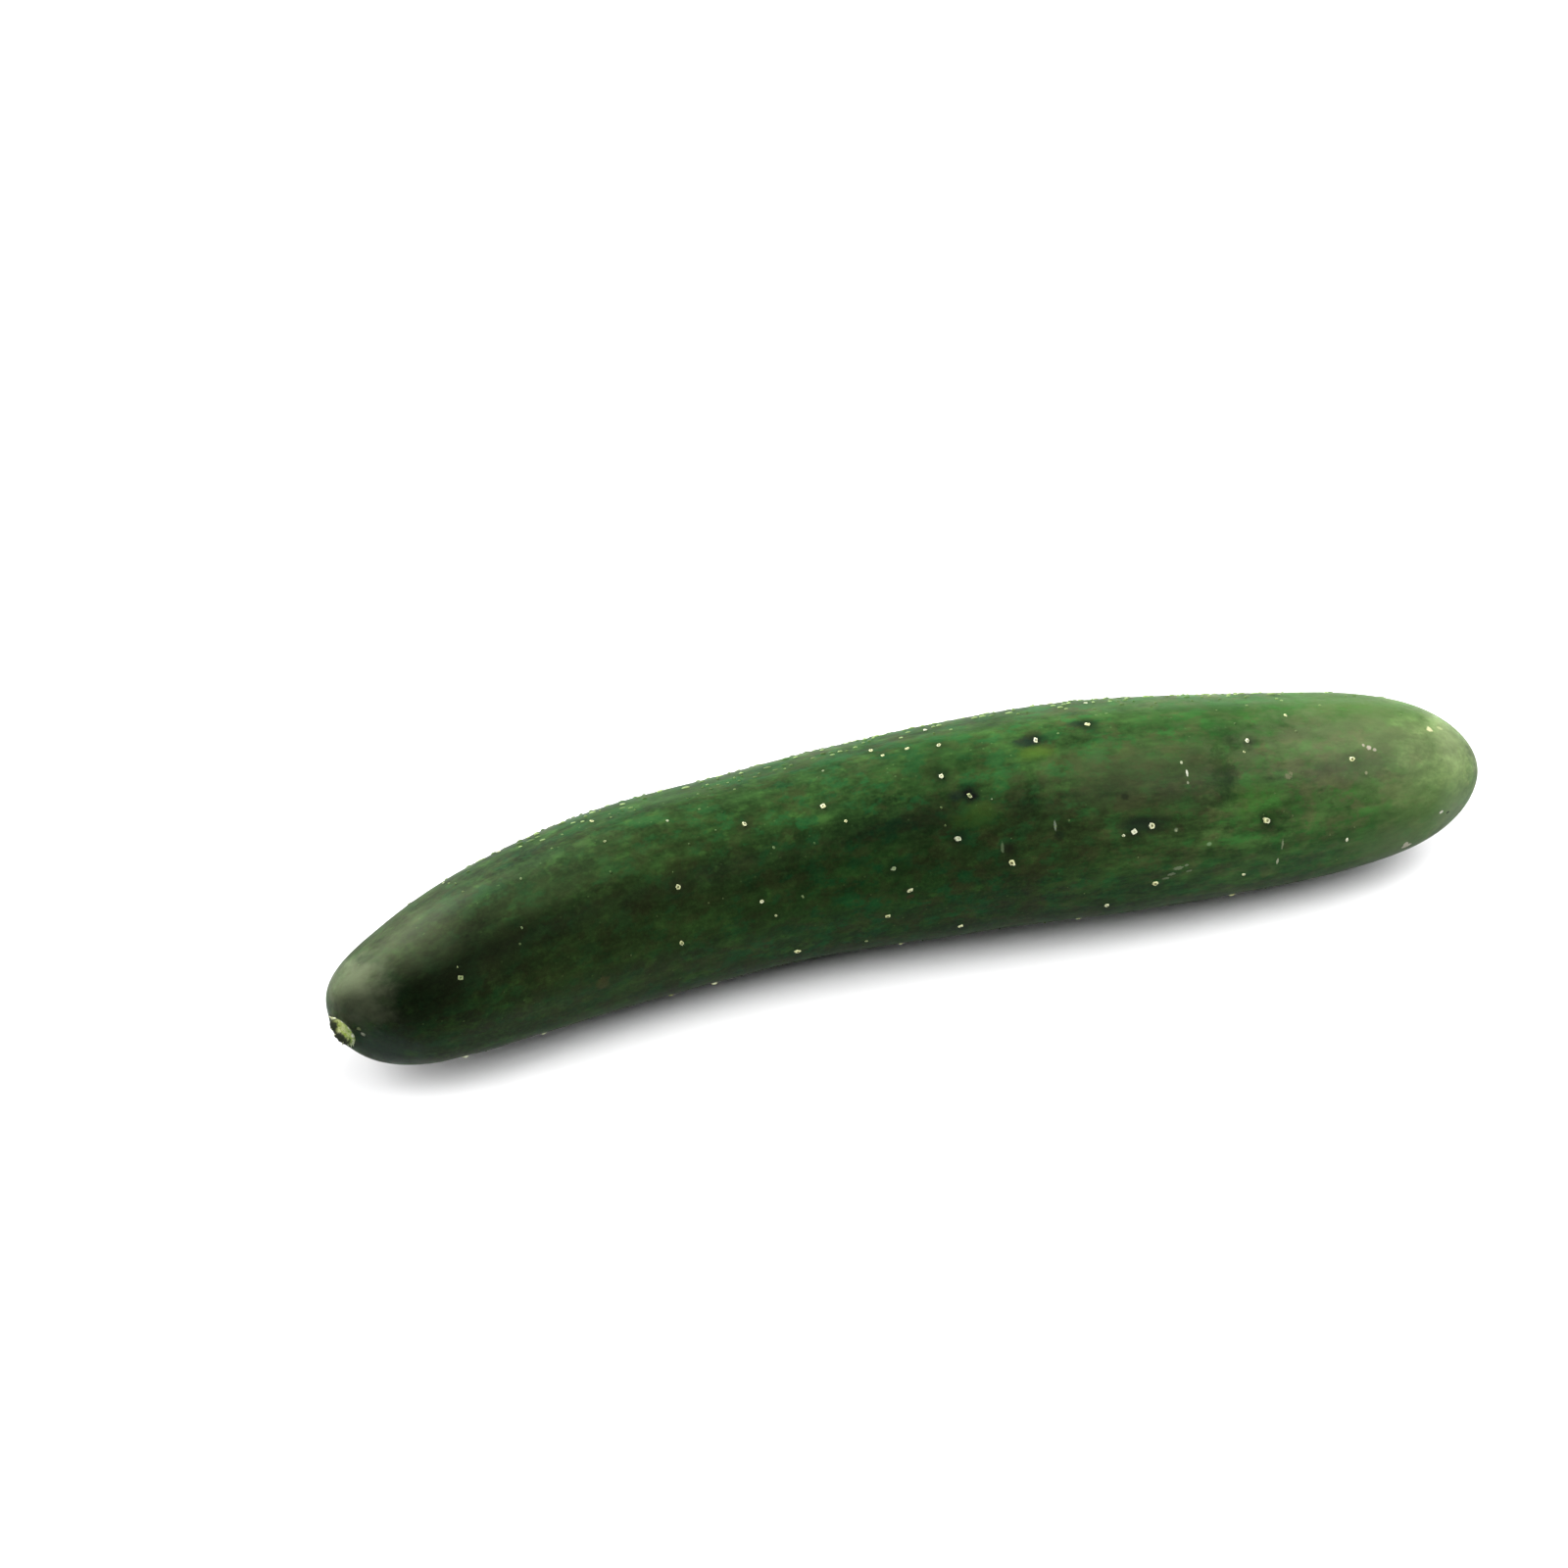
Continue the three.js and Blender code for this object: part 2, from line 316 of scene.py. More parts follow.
print("skin")
skin = {
    "rings": 444,
    "sides": 212,
    "outlineSteps": 3000,
    "tipCare": (2.4, 4 * mm, 9 * mm),  # how much closer end rings are, and the radii where that fades
    "swells": [(0.22 * mm, 30 * mm), (0.10 * mm, 11 * mm), (0.035 * mm, 3.2 * mm)],  # height, width
    "swellSeed": Vector((3.1, 7.7, 1.3)),
    "dents": [  # station, turn, depth, length and width, all but turn in millimetres
        (136.1, 64.5, 0.35, 1.5, 1.6),
        (163.0, 59.0, 0.30, 5.0, 1.3),
        (118.0, 40.0, 0.18, 16.0, 3.0),
        (184.0, 19.0, 0.25, 2.2, 2.6),
    ],
    "dentReach": 2.5,  # how many widths a dent is felt
    "dentShade": 3,  # how much painted shade darkens it for each millimetre of depth
    "endZone": 12 * mm,  # how far in from a tip its scar is felt
    "scarPlace": Vector((-116.1, -12.6, 16.6)) * mm,
    "scarTurn": 33,
    "pit": (0.9 * mm, 2.3 * mm, 3.1 * mm),  # depth, and the radii where its wall starts and ends
    "pitRagged": (0.12, 1.4 * mm),  # how uneven its wall is, and how closely
    "collar": (0.3 * mm, 3.5 * mm, 0.8 * mm),  # height, radius and width
    "dimple": (0.8 * mm, 1.0 * mm, 2.6 * mm),  # as the pit, at the blossom end
    "outside": 3 * mm,  # how far out a search for the finished skin starts
}
scarAim = math.radians(skin["scarTurn"])
scarOut = Vector((-math.cos(scarAim), -math.sin(scarAim), 0))
blossomPoint = planAt(length)[0]
blossomAcross = planAt(length)[1]
blossomOut = Vector((-blossomAcross.y, blossomAcross.x, 0))
blossomPlace = Vector((blossomPoint.x, blossomPoint.y, axisHeight(length) - fruit["ground"]))


def ringStations():  # even along the outline, and closer near the tips
    care, careFrom, careTo = skin["tipCare"]
    steps = skin["outlineSteps"]
    half = [0.5 * length * (step / steps) ** 4 for step in range(steps + 1)]
    fine = half + [length - station for station in reversed(half[:-1])]
    travelled = [0.0]
    for a, b in zip(fine, fine[1:]):
        span = math.hypot(b - a, radiusAt(b) - radiusAt(a))
        closeness = 1 + care * (1 - smooth(radiusAt(b), careFrom, careTo))
        travelled.append(travelled[-1] + span * closeness)
    stations = []
    index = 0
    for ring in range(skin["rings"] + 1):
        target = travelled[-1] * ring / skin["rings"]
        while index < len(travelled) - 2 and travelled[index + 1] < target:
            index += 1
        share = (target - travelled[index]) / (travelled[index + 1] - travelled[index])
        stations.append(fine[index] + share * (fine[index + 1] - fine[index]))
    return stations


def unevenness(grown, fade):
    rise = 0.0
    for height, width in skin["swells"]:
        rise += height * noise.noise(grown / width + skin["swellSeed"])
    return fade * rise


def wartRelief(grown):  # rise of the skin near the warts, and how much it darkens there, partly darker skin and partly painted shade
    moundHeight, moundWidth = warts["mound"]
    depth, width = warts["hollow"]
    unevenBy, unevenStep = warts["ragged"]
    rise = 0.0
    shade = 0.0
    for _, index, distance in wartTree.find_range(grown, warts["reach"] * width):
        dark = wartList[index][4]
        ragged = 1 + unevenBy * noise.noise(grown / unevenStep)
        rise += wartList[index][2] * moundHeight * bell(distance, moundWidth)
        rise -= depth * dark * bell(distance, width)
        shade = max(shade, dark * bell(distance * ragged, width))
    return rise, shade


def dentRelief(grown):
    rise = 0.0
    shade = 0.0
    for station, turn, depth, lengthwise, width in skin["dents"]:
        away = grown - grownPlace(station * mm, turn)
        reach = math.hypot(away.x / (lengthwise * mm), away.yz.length / (width * mm))
        if reach < skin["dentReach"]:
            rise -= depth * mm * bell(reach, 1)
            shade = max(shade, min(1, depth * skin["dentShade"]) * bell(reach, 1))
    return rise, shade


def scarRelief(place):  # the torn pit and its low collar, measured out from the scar's own axis
    away = place - skin["scarPlace"]
    off = (away - scarOut * away.dot(scarOut)).length
    depth, wallFrom, wallTo = skin["pit"]
    height, collarRadius, collarWidth = skin["collar"]
    unevenBy, unevenStep = skin["pitRagged"]
    ragged = 1 + unevenBy * noise.noise(place / unevenStep)
    collar = height * bell(off - collarRadius, collarWidth)
    return collar - depth * (1 - smooth(off * ragged, wallFrom, wallTo))


def blossomRelief(place):
    away = place - blossomPlace
    off = (away - blossomOut * away.dot(blossomOut)).length
    depth, wallFrom, wallTo = skin["dimple"]
    return -depth * (1 - smooth(off, wallFrom, wallTo))


def makeSkin():
    rings = skin["rings"]
    stations = ringStations()
    bm = bmesh.new()
    bmesh.ops.create_grid(bm, x_segments=rings, y_segments=skin["sides"], size=0.5)
    grownLayer = bm.verts.layers.float_vector.new("grown")
    hollowLayer = bm.verts.layers.float.new("hollow")
    for vert in bm.verts:
        station = stations[round((vert.co.x + 0.5) * rings)]
        turn = 360 * vert.co.y
        grown = grownPlace(station, turn)
        fade = ringAt(station)[4]
        wartRise, wartShade = wartRelief(grown)
        dentRise, dentShade = dentRelief(grown)
        rise = unevenness(grown, fade) + wartRise + dentRise
        place = bodyPlace(station, turn, rise)
        if station < skin["endZone"]:
            place += scarOut * scarRelief(place)
        if station > length - skin["endZone"]:
            place += blossomOut * blossomRelief(place)
        place.x = min(place.x, cadBounds[1][0])  # the tip stays inside the solid's box
        place.z = max(place.z, 0)
        vert.co = place
        vert[grownLayer] = grown
        vert[hollowLayer] = max(wartShade, dentShade)
    bmesh.ops.remove_doubles(bm, verts=bm.verts, dist=weld)
    bmesh.ops.recalc_face_normals(bm, faces=bm.faces)
    return bm


def finishMesh(bm, name, material, isSmooth=True):
    for face in bm.faces:
        face.smooth = isSmooth
    mesh = bpy.data.meshes.new(name)
    bm.to_mesh(mesh)
    mesh.materials.append(material)
    piece = bpy.data.objects.new(name, mesh)
    bpy.context.scene.collection.objects.link(piece)
    return piece


skinMesh = makeSkin()
skinTree = BVHTree.FromBMesh(skinMesh)
print(len(skinMesh.verts), "skin points")


def onSkin(station, turn):  # the real place and direction of the finished skin
    start = bodyPlace(station, turn, skin["outside"])
    inward = (bodyPlace(station, turn) - start).normalized()
    place, normal, _, _ = skinTree.ray_cast(start, inward)
    return place, normal


print("finishes")


def paint(code):  # a colour as it is seen, such as "3f6b35", made linear
    channels = []
    for place in (0, 2, 4):
        value = int(code[place : place + 2], 16) / 255
        channels.append(value / 12.92 if value <= 0.04045 else ((value + 0.055) / 1.055) ** 2.4)
    return (*channels, 1.0)


class Wire:  # a node's output that can be used in sums
    def __init__(self, finish, socket):
        self.finish = finish
        self.socket = socket

    def calc(self, operation, first, second):
        return self.finish.add("ShaderNodeMath", {"operation": operation}, {0: first, 1: second})

    def __add__(self, other):
        return self.calc("ADD", self, other)

    def __radd__(self, other):
        return self.calc("ADD", other, self)

    def __sub__(self, other):
        return self.calc("SUBTRACT", self, other)

    def __rsub__(self, other):
        return self.calc("SUBTRACT", other, self)

    def __mul__(self, other):
        return self.calc("MULTIPLY", self, other)

    def __rmul__(self, other):
        return self.calc("MULTIPLY", other, self)


class Finish:  # one material, built node by node
    def __init__(self, name, **constants):
        self.material = bpy.data.materials.new(name)
        self.material.use_nodes = True
        self.nodes = self.material.node_tree.nodes
        self.links = self.material.node_tree.links
        self.shader = self.nodes["Principled BSDF"]
        for socket, value in constants.items():
            self.shader.inputs[socket.replace("_", " ")].default_value = value

    def add(self, kind, settings=None, inputs=None, output=0):
        node = self.nodes.new(kind)
        for name, value in (settings or {}).items():
            setattr(node, name, value)
        for key, value in (inputs or {}).items():
            self.feed(node.inputs[key], value)
        return Wire(self, node.outputs[output])

    def feed(self, socket, value):
        if isinstance(value, Wire):
            self.links.new(value.socket, socket)
        else:
            socket.default_value = value

    def read(self, name, output=2):  # an attribute of the mesh: 1 for a vector, 2 for a number
        return self.add("ShaderNodeAttribute", {"attribute_name": name}, output=output)

    def scaled(self, vector, sizes):  # the vector measured in steps of these sizes in millimetres
        steps = tuple(1000 / size for size in sizes)
        return self.add("ShaderNodeVectorMath", {"operation": "MULTIPLY"}, {0: vector, 1: steps})

    def noise(self, vector, sizes, detail=2.0, roughness=0.5, seed=0.0):
        settings = {"noise_dimensions": "4D"}
        inputs = {"Vector": self.scaled(vector, sizes), "W": seed, "Scale": 1.0}
        inputs.update({"Detail": detail, "Roughness": roughness})
        return self.add("ShaderNodeTexNoise", settings, inputs)

    def parts(self, vector):  # its x, y and z
        node = self.add("ShaderNodeSeparateXYZ", inputs={0: vector}).socket.node
        return [Wire(self, output) for output in node.outputs]

    def ramp(self, value, low, high, toLow=0.0, toHigh=1.0):  # a soft step from low to high
        inputs = {"Value": value, "From Min": low, "From Max": high}
        inputs.update({"To Min": toLow, "To Max": toHigh})
        return self.add("ShaderNodeMapRange", {"interpolation_type": "SMOOTHSTEP"}, inputs)

    def blend(self, factor, first, second, way="MIX"):  # colours only
        settings = {"data_type": "RGBA", "blend_type": way}
        return self.add("ShaderNodeMix", settings, {0: factor, 6: first, 7: second}, output=2)

    def spot(self, vector, centre, sizes):  # 0 at the centre, 1 at the sizes given in millimetres
        away = self.add("ShaderNodeVectorMath", {"operation": "SUBTRACT"}, {0: vector, 1: centre})
        steps = self.scaled(away, sizes)
        return self.add("ShaderNodeVectorMath", {"operation": "LENGTH"}, {0: steps}, output=1)

    def bump(self, height, distance, strength=1.0, under=None):
        inputs = {"Height": height, "Distance": distance, "Strength": strength}
        if under:
            inputs["Normal"] = under
        return self.add("ShaderNodeBump", inputs=inputs)

    def cover(self, colour, roughness, normal):  # feeds the shader, and hands back the material
        self.feed(self.shader.inputs["Base Color"], colour)
        self.feed(self.shader.inputs["Roughness"], roughness)
        self.feed(self.shader.inputs["Normal"], normal)
        return self.material


skinLook = {
    "deep": paint("162d13"),
    "green": paint("2b4f23"),
    "light": paint("436c32"),
    "emerald": paint("144e28"),
    "rust": paint("3a3922"),
    # painted highlight along the top of the fruit
    "crown": paint("50763a"),
    "streak": paint("496c37"),
    "blossom": paint("5a7a44"),
    "grass": paint("4b803b"),
    "drab": paint("6b704a"),
    "fern": paint("295c2c"),
    "tip": paint("b0cb88"),
    # dark green of the stem end, also used for painted shade on the underside
    "neck": paint("0d180a"),
    # grey bloom of the stem end, partly painted sheen
    "bloomAndSheen": paint("525b42"),
    # darkening in the hollows round warts and in dents, partly darker skin and partly painted shade
    "slate": paint("0e1112"),
    # pale pimples, partly painted highlight on their tops
    "pimple": paint("b2cc88"),
    "speck": paint("7d9e60"),
    "shaded": (0.56, 0.56, 0.59, 1.0),
    "sunned": (1.46, 1.46, 1.40, 1.0),
    "roughness": 0.45,
    "gloss": 0.041,
    "cell": (1.9, 1.5, 1.5),  # millimetres between the light specks, along, across and up
    "longMark": 3,  # millimetres; the outline of a longer mark wanders more broadly
    "leather": (0.25 * mm, 0.5),  # height and strength of the fine relief
    "grain": (0.06 * mm, 0.6),
}
skinPatterns = {  # millimetres along, across and up, detail, roughness, seed
    "broad": ((26, 13, 13), 2.0, 0.5, 0.0),
    "mottle": ((7, 4.2, 4.2), 3.0, 0.6, 1.3),
    "blotch": ((3.8, 2.8, 2.8), 3.0, 0.65, 4.1),
    "rusty": ((5.0, 3.2, 3.2), 3.0, 0.65, 7.7),
    "bluish": ((4.4, 2.8, 2.8), 3.0, 0.65, 12.5),
    "grain": ((0.9, 0.7, 0.7), 2.0, 0.6, 0.0),
    "threads": ((70, 1.5, 1.5), 2.0, 0.6, 0.0),
    "ribbons": ((160, 5.5, 5.5), 1.0, 0.5, 0.0),
    "uneven": ((8.5, 5.0, 5.0), 4.0, 0.7, 21.0),
    "brushed": ((24, 3.4, 3.4), 3.0, 0.6, 16.0),
    "patchy": ((9.0, 3.4, 3.4), 4.0, 0.7, 33.0),
    "rag": ((0.8, 0.8, 0.8), 3.0, 0.7, 0.0),
    "drift": ((4, 3, 3), 3.0, 0.6, 3.0),
}
skinZones = {  # where each starts and where it is full, in millimetres; several steps are multiplied
    # the stem end, darker partly in its own green and partly as painted shade
    "neck": [("station", 50, 16)],
    "blossomHalf": [("station", 120, 228)],
    "stemHalf": [("station", 105, 45)],
    "flank": [("up", 11, -2)],
    "nearSide": [("across", -4, 4, 0.4, 1.0)],  # 0.4 on the far side
    # the top of the fruit, lighter as painted highlight
    "crown": [("up", 11, 19), ("station", 45, 80), ("station", 185, 130)],
    "tip": [("station", 208, 236)],
    # the upper stem end: grey bloom, partly painted sheen
    "bloomAndSheen": [("station", 46, 4), ("up", 5, 14.5)],
    "pastMiddle": [("station", 125, 150)],
    "beforeTip": [("station", 212, 180)],
    "belowCrown": [("up", 20.5, 15)],
    # the underside, where painted shade darkens the skin
    "under": [("up", -4, -12)],
}
skinSteps = {  # the values of a pattern where a layer starts to show and where it is full
    "green": (0.6, 1.05),
    "threads": (0.48, 0.75),
    "ribbons": (0.5, 0.7),
    "light": (0.5, 0.68),
    "deep": (0.5, 0.34),
    "rusty": (0.46, 0.60),
    "bluish": (0.49, 0.62),
    "uneven": (0.32, 0.68),
    "brushed": (0.34, 0.66),
    "patchy": (0.36, 0.64),
    "speck": (0.16, 0.08),
    "speckled": (0.5, 0.62),
    "grain": (0.4, 0.7),
    "hollow": (0.3, 0.55, 0.6, 1.0),
}
marks = [  # station, turn, length, width (all but turn in mm), raggedness, softness, strength, colour
    # these two: painted shade on the front of the stem end
    (25, 38, 18, 6.2, 0.7, 0.9, 0.65, "0a1407"),
    (10, 56, 11, 7, 0.8, 0.9, 0.66, "0a1407"),
    # these two: pale stem shoulder, partly grey bloom and partly painted sheen
    (3, 15, 6, 6, 0.8, 0.8, 0.70, "869070"),
    (18, 0, 7, 5, 0.9, 0.9, 0.14, "8a9470"),
    (46, 16, 12, 5, 1.2, 0.9, 0.13, "6a8c5a"),
    (190, -6, 22, 8, 1.2, 0.9, 0.60, "2c5626"),
    (218, -10, 14, 9, 1.0, 0.9, 0.75, "4e7038"),
    (229, 50, 5, 6, 1.0, 0.9, 0.40, "65854e"),
    # these two: paler tip, partly painted highlight
    (231, 92, 4, 5, 0.8, 0.9, 0.35, "a4b494"),
    (231, 14, 3, 6, 0.8, 0.9, 0.35, "c4d4a0"),
    (220, 106, 9, 5, 0.9, 0.9, 0.30, "8fa274"),
    (224, 72, 9, 6, 1.0, 0.9, 0.45, "4a6c34"),
    (126, 7, 8, 5, 1.2, 0.9, 0.45, "14300f"),
    (104, 64, 26, 6, 1.4, 0.9, 0.35, "14280f"),
    # painted reflection of the pale floor along the lower edge by the stem
    (5, 112, 9, 4, 0.8, 0.9, 0.50, "596b62"),
    (209, 26, 21, 7, 1.2, 0.8, 0.40, "7d8362"),
    (165, 34, 17, 5.5, 1.3, 0.9, 0.55, "4f5a3b"),
    (58, 62, 30, 13, 1.4, 0.8, 0.35, "2f331a"),
    (150, 62, 26, 7, 1.5, 0.9, 0.30, "3f4328"),
    (186, 52, 5, 4, 1.2, 0.7, 0.40, "47802f"),
    (130.8, 44, 4.0, 2.0, 1.2, 0.7, 0.40, "4a6a26"),
    (144.6, 15, 3.2, 1.5, 1.0, 0.7, 0.50, "5a7a2a"),
    (143.1, 7.2, 2.0, 1.2, 0.9, 0.6, 0.60, "1c2226"),
    (154.2, -1.5, 1.8, 0.9, 0.9, 0.6, 0.50, "1c2a24"),
    (127.4, 31.8, 1.4, 0.9, 0.9, 0.6, 0.50, "1c2226"),
    (146.6, 61, 1.0, 0.9, 0.8, 0.5, 0.60, "16221a"),
    (163, 60.5, 4.5, 1.3, 0.9, 0.8, 0.60, "1c2622"),
    (160.2, 45.2, 0.7, 0.6, 0.7, 0.4, 0.60, "20281a"),
    (180.1, 37, 1.8, 5.0, 1.4, 0.7, 0.50, "1d3b18"),
    (48.6, 89.7, 1.4, 1.6, 1.0, 0.4, 0.45, "5c5636"),
    (116, 82.6, 0.8, 0.5, 0.8, 0.4, 0.55, "4a3a2a"),
    (145.9, 55.6, 0.25, 1.0, 0.7, 0.25, 0.75, "9aa892"),
    (134.9, 63.0, 0.3, 1.1, 0.9, 0.25, 0.50, "8aa077"),
    (1.4, 95, 0.6, 0.4, 1.0, 0.3, 0.85, "e4ead0"),
    (1.0, 84, 0.4, 0.35, 1.2, 0.3, 0.70, "b9c98c"),
    (227.0, 12.2, 0.8, 0.6, 0.8, 0.2, 1.0, "f0eeb8"),
    (229.6, 7.0, 1.7, 0.4, 0.6, 0.3, 0.60, "d6e2a2"),
    (212.3, 30.2, 0.5, 0.4, 0.9, 0.3, 0.80, "d8cdb8"),
    (211.2, 28.4, 0.3, 0.3, 0.6, 0.3, 0.70, "d8cdb8"),
    (213.4, 31.8, 0.4, 0.3, 0.8, 0.3, 0.60, "d8cdb8"),
    (210.7, 46.1, 0.3, 0.3, 0.6, 0.3, 0.60, "c4c49a"),
    (193.4, 42.9, 0.7, 0.6, 2.2, 0.3, 0.40, "b6ae8c"),
    (172.4, 30.2, 0.25, 0.3, 0.5, 0.3, 0.80, "d6dcb8"),
    (173.0, 36.2, 0.2, 0.6, 0.7, 0.3, 1.0, "f4f8e0"),
    (172.8, 41.4, 0.22, 0.3, 0.5, 0.3, 0.70, "c6cca8"),
    (169.6, 65.8, 0.4, 0.4, 0.6, 0.3, 0.50, "9aa98a"),
    (176.0, 76.3, 0.45, 0.4, 0.6, 0.3, 0.70, "9cc08a"),
    (191.3, 83.5, 0.22, 1.1, 1.4, 0.3, 0.60, "b4c098"),
    (190.8, 96.9, 0.25, 0.9, 0.5, 0.2, 0.90, "d4dcb8"),
    (170.3, 89.5, 0.9, 0.45, 1.2, 0.25, 0.60, "b0bf9a"),
    (171.8, 88.3, 0.4, 0.3, 0.9, 0.25, 0.60, "b0bf9a"),
    (172.4, 93.1, 0.6, 0.3, 1.0, 0.25, 0.45, "b0bf9a"),
    (169.1, 93.7, 0.8, 0.35, 1.2, 0.25, 0.50, "b0bf9a"),
    (167.9, 96.5, 0.7, 0.3, 1.0, 0.25, 0.45, "b0bf9a"),
    (221.3, 115.2, 1.4, 0.55, 0.4, 0.15, 0.95, "e8e6cc"),
    (221.0, 112.6, 0.6, 0.9, 0.3, 0.15, 0.95, "e8e6cc"),
    (228.1, 88.3, 0.5, 0.4, 0.6, 0.2, 1.0, "f8f8e4"),
    (229.9, 93.5, 0.6, 0.3, 0.5, 0.2, 0.85, "1c2a1c"),
]


def skinValues(finish, grown):  # every pattern and zone, as values over the skin
    axes = dict(zip(("station", "across", "up"), finish.parts(grown)))
    values = {name: finish.noise(grown, *pattern) for name, pattern in skinPatterns.items()}
    for name, steps in skinZones.items():
        zone = None
        for axis, start, full, *levels in steps:
            ramp = finish.ramp(axes[axis], start * mm, full * mm, *levels)
            zone = zone * ramp if zone else ramp
        values[name] = zone
    return values


def showing(finish, name, value):  # how far a layer shows where its pattern has this value
    return finish.ramp(value, *skinSteps[name])


def greenGround(finish, at):  # dark and light greens, streaked lengthwise, paler past the middle
    look = skinLook
    light = showing(finish, "green", at["mottle"] + 0.6 * at["broad"])
    colour = finish.blend(light, look["deep"], look["green"])
    # the stem end darker, partly its own deeper green and partly painted shade
    colour = finish.blend(at["neck"] * 0.7, colour, look["neck"])
    threads = showing(finish, "threads", at["threads"]) * 0.2
    ribbons = showing(finish, "ribbons", at["ribbons"]) * (0.08 + 0.3 * at["blossomHalf"])
    colour = finish.blend(threads + ribbons, colour, look["streak"])
    colour = finish.blend(at["blossomHalf"] * (0.5 + 0.6 * at["mottle"]), colour, look["blossom"])
    colour = finish.blend(showing(finish, "light", at["blotch"]) * 0.6, colour, look["light"])
    deep = showing(finish, "deep", at["blotch"]) * (0.6 - 0.2 * at["blossomHalf"])
    return finish.blend(deep, colour, look["deep"])


def warmAndCool(finish, at, colour):  # rusty and bluish patches, calmer in the stem half
    look = skinLook
    colour = finish.blend(0.12 * at["stemHalf"], colour, look["rust"])
    amount = 0.5 - 0.2 * at["stemHalf"] + 0.2 * at["blossomHalf"] * at["nearSide"]
    drab = finish.blend(at["blossomHalf"], look["rust"], look["drab"])
    colour = finish.blend(showing(finish, "rusty", at["rusty"]) * amount, colour, drab)
    lively = finish.blend(at["blossomHalf"] * (1 - 0.6 * at["flank"]), look["emerald"], look["grass"])
    bluish = showing(finish, "bluish", at["bluish"]) * (0.8 - 0.4 * at["stemHalf"])
    colour = finish.blend(bluish, colour, lively)
    return finish.blend(at["flank"] * at["blossomHalf"] * 0.45, colour, look["fern"])


def paleParts(finish, at, colour, bloomAndSheen):  # the painted highlight of the crown, the blossom tip, and the grey bloom with painted sheen on the neck
    look = skinLook
    # painted highlight along the top
    colour = finish.blend(at["crown"] * (0.3 * at["mottle"]), colour, look["crown"])
    patches = 0.3 + 0.7 * at["mottle"] + 0.5 * at["blotch"]
    tip = at["tip"] * patches * (1 - 0.85 * at["flank"]) * at["nearSide"]
    colour = finish.blend(tip, colour, look["tip"])
    return finish.blend(bloomAndSheen, colour, look["bloomAndSheen"])


def lightAndDark(finish, at, colour):  # large uneven areas, stronger past the middle, and painted shade on the underside
    look = skinLook
    uneven = showing(finish, "uneven", at["uneven"])
    brushed = showing(finish, "brushed", at["brushed"])
    tint = finish.blend(uneven * 0.5 + brushed * 0.5, look["shaded"], look["sunned"])
    colour = finish.blend(1.0, colour, tint, "MULTIPLY")
    amount = (0.3 + 0.7 * at["pastMiddle"] * at["beforeTip"]) * at["belowCrown"]
    tint = finish.blend(showing(finish, "patchy", at["patchy"]), look["shaded"], look["sunned"])
    colour = finish.blend(amount, colour, tint, "MULTIPLY")
    # painted shade on the underside, in the dark green of the neck
    return finish.blend(at["under"] * 0.5, colour, look["neck"])


def fineDetail(finish, at, colour, grown, hollow):  # specks, grain, and the hollows darkened partly as painted shade
    look = skinLook
    inputs = {"Vector": finish.scaled(grown, look["cell"]), "Scale": 1.0}
    cells = finish.add("ShaderNodeTexVoronoi", {"feature": "F1"}, inputs)
    specks = showing(finish, "speck", cells) * showing(finish, "speckled", at["mottle"])
    colour = finish.blend(specks * 0.3, colour, look["speck"])
    colour = finish.blend(showing(finish, "grain", at["grain"]) * 0.2, colour, look["streak"])
    return finish.blend(hollow * showing(finish, "hollow", at["blotch"]), colour, look["slate"])


def addMarks(finish, at, colour, grown):
    for station, turn, lengthwise, width, ragged, soft, strength, code in marks:
        centre = grownPlace(station * mm, turn)
        edge = at["drift"] if lengthwise > skinLook["longMark"] else at["rag"]
        away = finish.spot(grown, centre, (lengthwise, width, width)) + (edge - 0.5) * (2 * ragged)
        colour = finish.blend(finish.ramp(away, 1 + soft, 1 - soft) * strength, colour, paint(code))
    return colour


def finishSkin():
    look = skinLook
    finish = Finish("skin", Specular_IOR_Level=look["gloss"])
    grown = finish.read("grown", 1)
    hollow = finish.read("hollow")
    at = skinValues(finish, grown)
    # the bloom, partly painted sheen, broken up by patterns; it also roughens the skin
    bloomAndSheen = at["bloomAndSheen"] * (0.1 + 0.5 * at["broad"] + 0.5 * at["blotch"])
    colour = greenGround(finish, at)
    colour = warmAndCool(finish, at, colour)
    colour = paleParts(finish, at, colour, bloomAndSheen)
    colour = lightAndDark(finish, at, colour)
    colour = fineDetail(finish, at, colour, grown, hollow)
    colour = addMarks(finish, at, colour, grown)
    # pimples paler, partly as painted highlight
    colour = finish.blend(finish.read("pale"), colour, look["pimple"])
    roughness = look["roughness"] + (at["grain"] - 0.5) * 0.2 + (at["mottle"] - 0.5) * 0.12
    leather = finish.bump(at["mottle"], *look["leather"])
    relief = finish.bump(at["grain"], *look["grain"], leather)
    return finish.cover(colour, roughness + hollow * 0.1 + bloomAndSheen * 0.35, relief)


skinFinish = finishSkin()
fruitPiece = finishMesh(skinMesh, "cucumber_skin", skinFinish)
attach(fruitPiece, "root")
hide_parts("cucumber")


def spun(profile, sides):  # a closed shape spun round Z from its profile of radius and height
    bm = bmesh.new()
    verts = [bm.verts.new((radius, 0, height)) for radius, height in profile]
    edges = [bm.edges.new(pair) for pair in zip(verts, verts[1:])]
    bmesh.ops.spin(
        bm,
        geom=verts + edges,
        cent=(0, 0, 0),
        axis=(0, 0, 1),
        angle=math.tau,
        steps=sides,
        use_merge=True,
    )
    bmesh.ops.remove_doubles(bm, verts=bm.verts, dist=weld)
    bmesh.ops.recalc_face_normals(bm, faces=bm.faces)
    return bm


